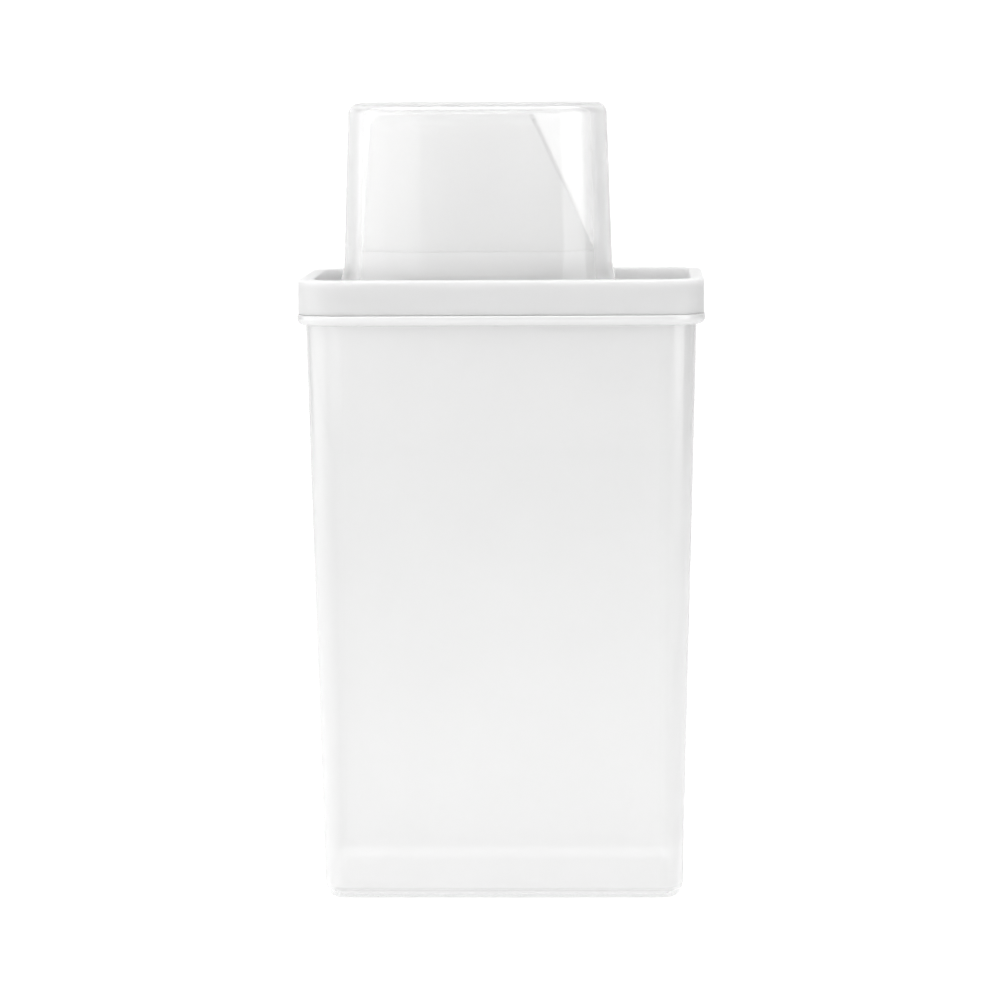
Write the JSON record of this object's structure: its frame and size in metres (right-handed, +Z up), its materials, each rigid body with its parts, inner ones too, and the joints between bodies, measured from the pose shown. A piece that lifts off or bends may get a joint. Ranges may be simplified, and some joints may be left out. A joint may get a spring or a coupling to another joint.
{
  "type": "laundry powder storage box",
  "caption": "Tall tapered cloudy box with a white rimmed lid, a hooded pouring spout and a clear measuring cup worn over the spout as its cap; stores and pours laundry powder.",
  "frame": {"origin": "middle of the base, on the surface that the box stands on", "axes": "+Z up; +X towards the side that the spout pours to, seen at the right from the front; +Y from the front to the back"},
  "size_m": [0.1308, 0.0958, 0.2559],
  "materials": {
    "cloudy_polypropylene": "cloudy moulded polypropylene with a soft sheen",
    "white_polypropylene": "white moulded polypropylene with a soft sheen",
    "clear_polypropylene": "clear moulded polypropylene, slightly hazy"
  },
  "bodies": {
    "container": {"container": "cloudy_polypropylene"},
    "lid": {"lid": "white_polypropylene"},
    "measuring_cup": {"measuring_cup": "clear_polypropylene"}
  },
  "joints": [
    {"name": "lid_lift", "type": "slide", "parent": "container", "child": "lid", "axis": [0, 0, 1], "range_m": [0, 0.03]},
    {"name": "cup_lift", "type": "slide", "parent": "lid", "child": "measuring_cup", "axis": [0, 0, 1], "range_m": [0, 0.07]}
  ]
}
